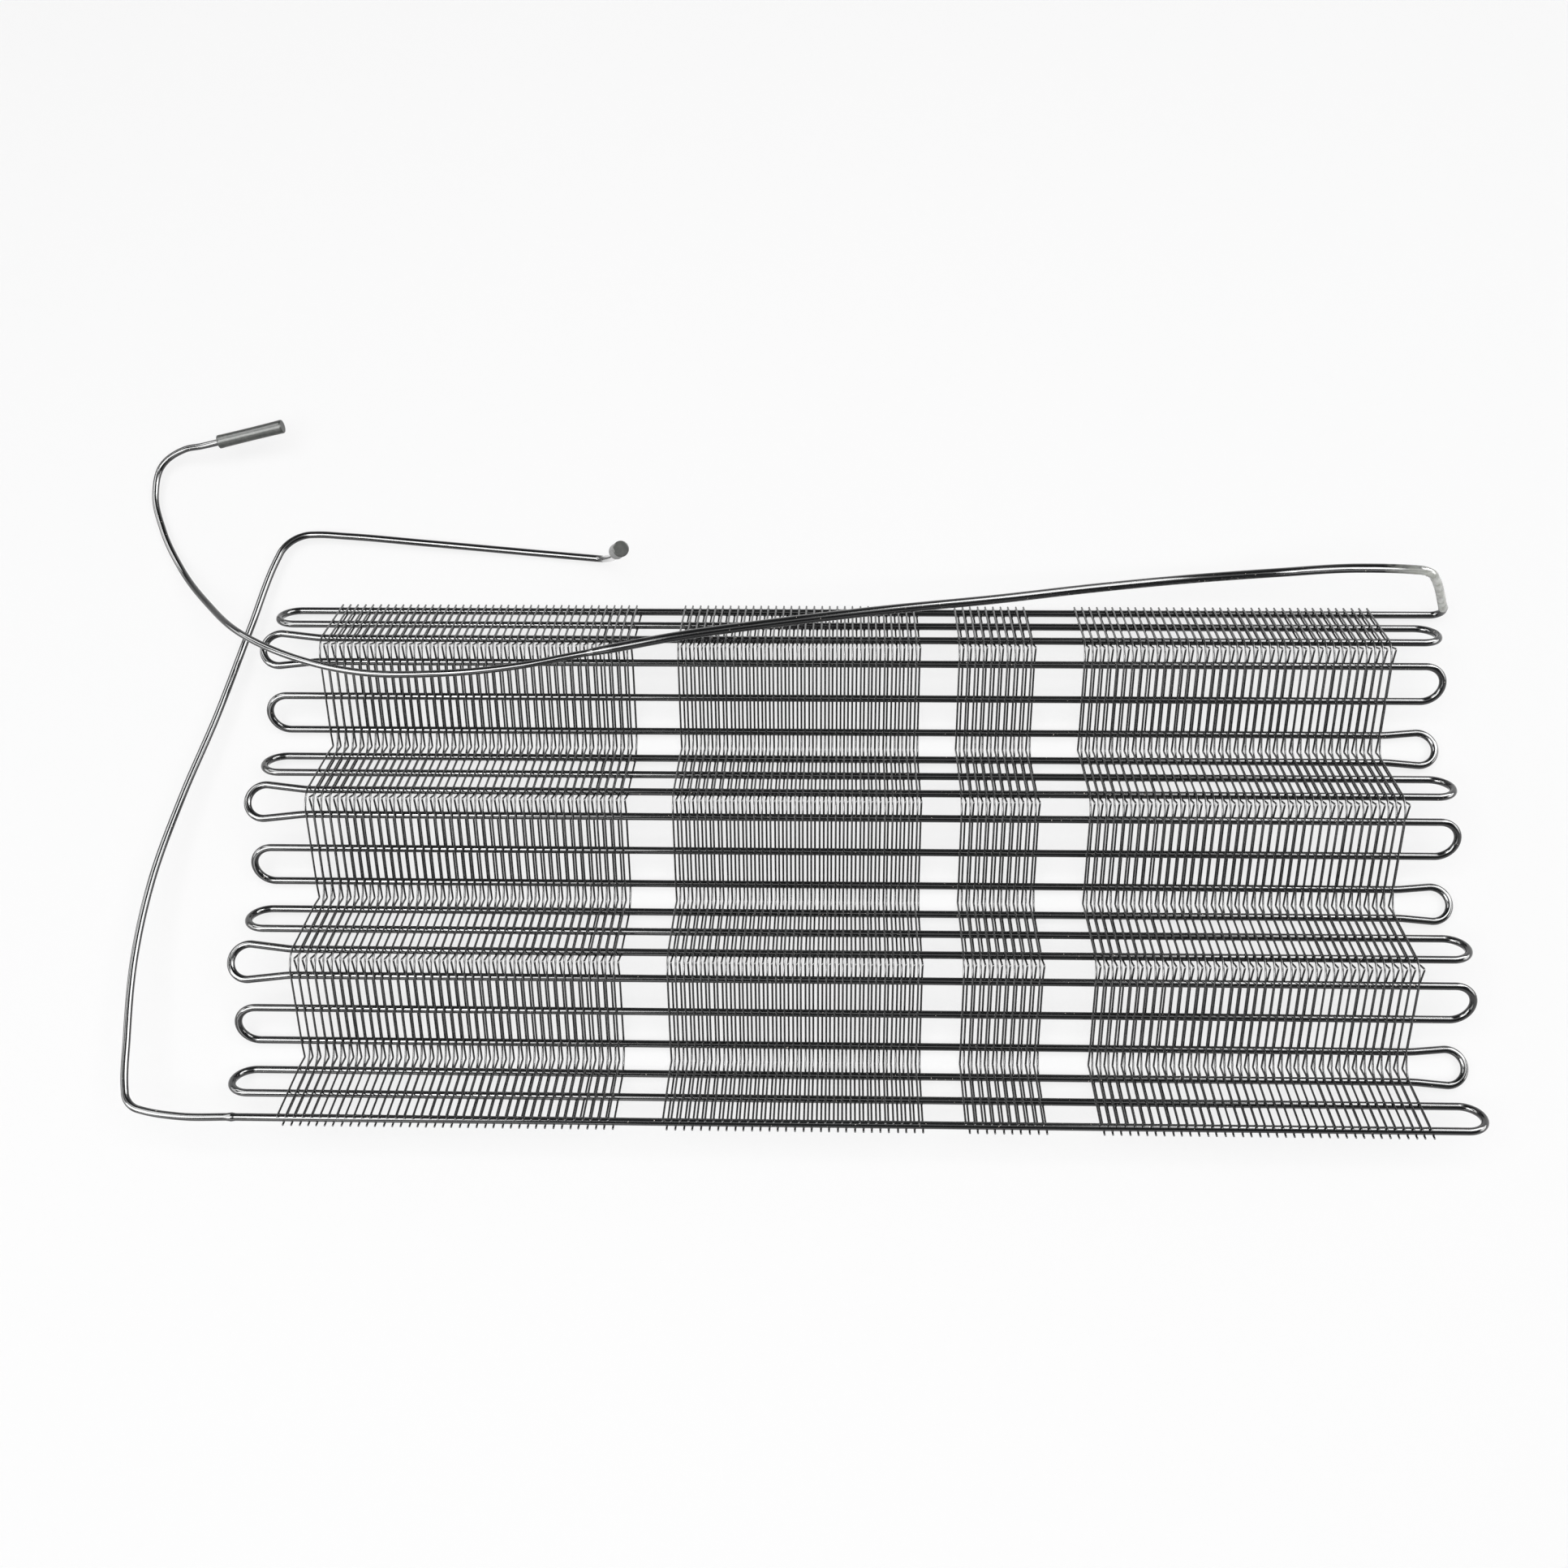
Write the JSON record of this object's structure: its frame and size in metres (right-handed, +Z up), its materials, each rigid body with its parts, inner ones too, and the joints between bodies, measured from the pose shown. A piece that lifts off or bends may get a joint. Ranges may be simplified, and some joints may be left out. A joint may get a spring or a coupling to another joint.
{
  "type": "condenser coil",
  "caption": "Wire-on-tube condenser coil folded into a zigzag panel, with a hot gas lead, an outlet lead with a raised stub, and a push-on cap on each open end.",
  "frame": {"origin": "middle of the panel's footprint, on the surface that it lies on", "axes": "+X along the tube runs, from the outlet side to the hot gas side; +Y across the panel, from its raised edge to its low edge; +Z up, out of the surface that it lies on"},
  "size_m": [0.882, 0.4837, 0.1982],
  "materials": {
    "black_paint": "glossy black paint",
    "wire_paint": "glossy black paint",
    "cap_rubber": "satin black"
  },
  "bodies": {
    "root": {"coil_tube": "black_paint", "hot_gas_tube": "black_paint", "hot_gas_tail": "black_paint", "outlet_tube": "black_paint", "hot_gas_cap": "cap_rubber", "outlet_cap": "cap_rubber", "upper_left_edge_wires": "wire_paint", "upper_left_wires": "wire_paint", "upper_middle_edge_wires": "wire_paint", "upper_middle_wires": "wire_paint", "upper_narrow_edge_wires": "wire_paint", "upper_narrow_wires": "wire_paint", "upper_right_edge_wires": "wire_paint", "upper_right_wires": "wire_paint", "lower_left_edge_wires": "wire_paint", "lower_left_wires": "wire_paint", "lower_middle_edge_wires": "wire_paint", "lower_middle_wires": "wire_paint", "lower_narrow_edge_wires": "wire_paint", "lower_narrow_wires": "wire_paint", "lower_right_edge_wires": "wire_paint", "lower_right_wires": "wire_paint"}
  },
  "joints": []
}
